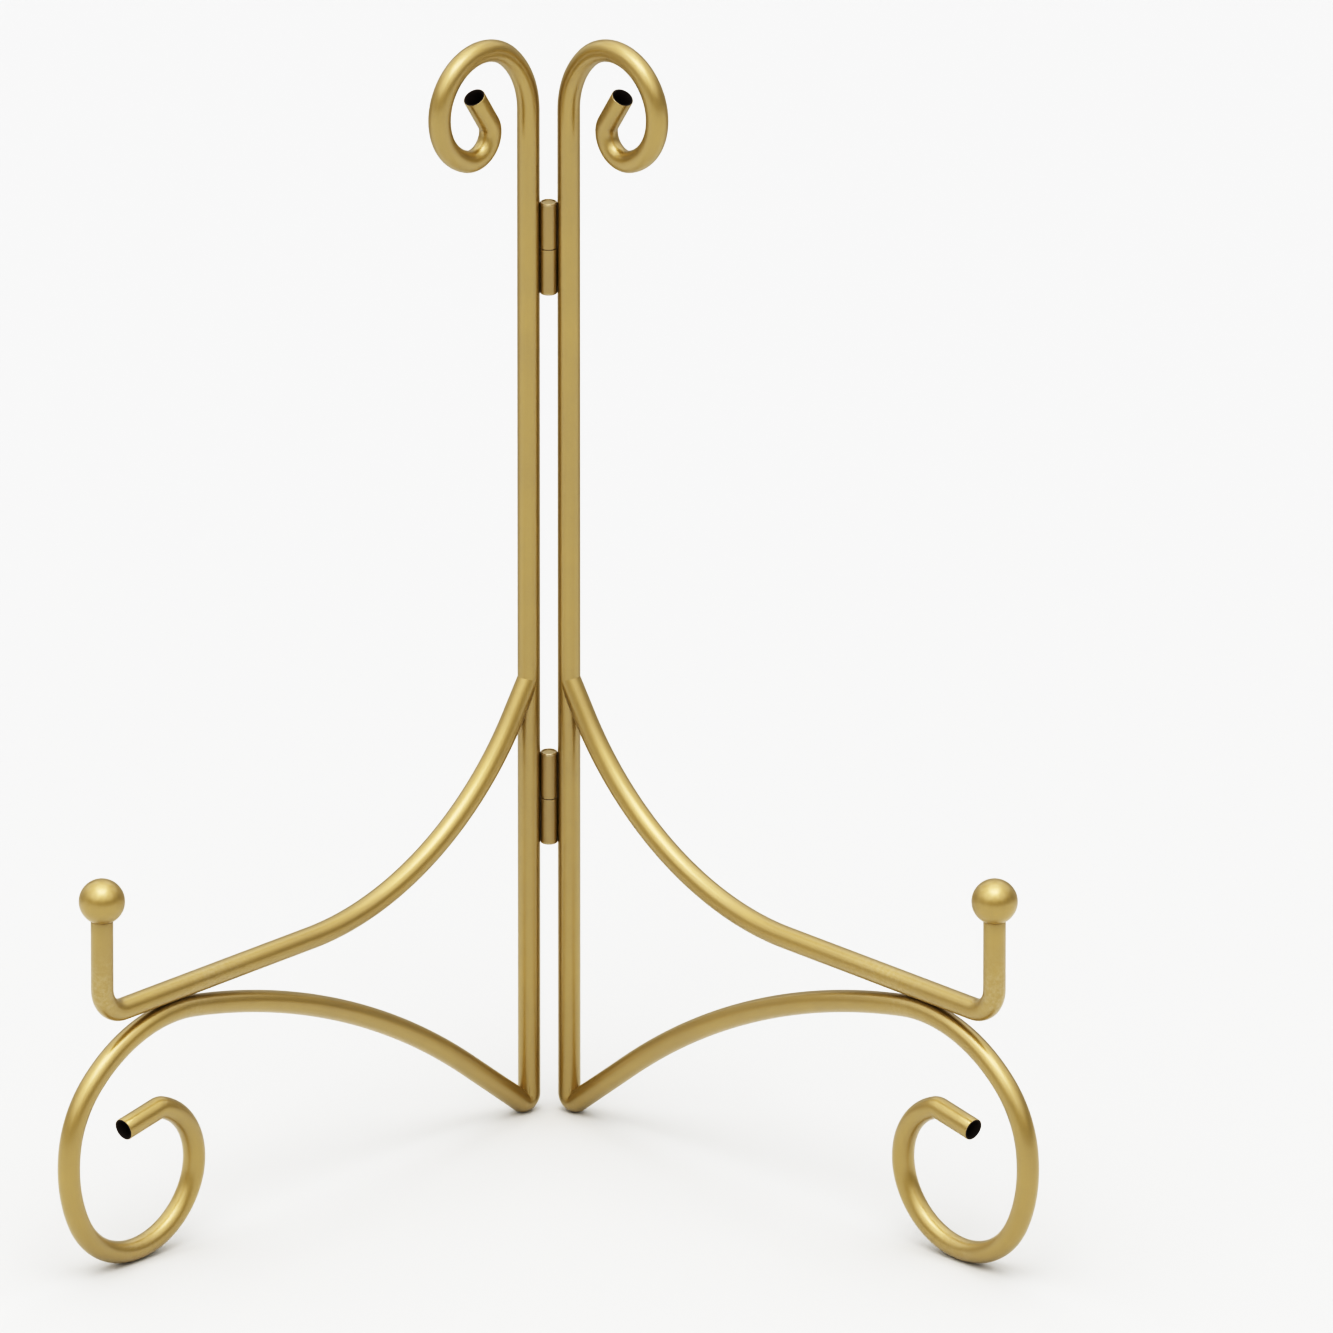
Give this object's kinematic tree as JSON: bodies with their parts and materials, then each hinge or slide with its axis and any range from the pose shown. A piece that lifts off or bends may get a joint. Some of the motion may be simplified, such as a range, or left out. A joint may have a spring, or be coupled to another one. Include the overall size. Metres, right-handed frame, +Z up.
{
  "type": "display easel",
  "caption": "Folding display easel of bent metal tube, with scrolled feet, lipped arms and a hinged back.",
  "frame": {"origin": "on the floor, under the middle of the easel's bounding box", "axes": "+Z up, along the posts and the hinge axis; the display side, where the arms and feet reach out, faces -Y; +X is to the right as seen from the display side"},
  "size_m": [0.255, 0.1252, 0.305],
  "materials": {
    "gold_paint": "satin",
    "hinge_gold": "satin"
  },
  "bodies": {
    "left_frame": {"left_post": "gold_paint", "left_heel": "gold_paint", "left_foot": "gold_paint", "left_arm": "gold_paint", "left_ball": "gold_paint", "upper_hinge_top_knuckle": "hinge_gold", "upper_hinge_pin": "hinge_gold", "lower_hinge_top_knuckle": "hinge_gold", "lower_hinge_pin": "hinge_gold", "left_hinge_welds": "gold_paint"},
    "right_frame": {"right_post": "gold_paint", "right_heel": "gold_paint", "right_foot": "gold_paint", "right_arm": "gold_paint", "right_ball": "gold_paint", "upper_hinge_bottom_knuckle": "hinge_gold", "lower_hinge_bottom_knuckle": "hinge_gold", "right_hinge_welds": "gold_paint"}
  },
  "joints": [
    {"name": "fold", "type": "hinge", "parent": "left_frame", "child": "right_frame", "pos_m": [0, 0.05967, 0], "axis": [0, 0, 1], "range_deg": [-88, 100]}
  ]
}
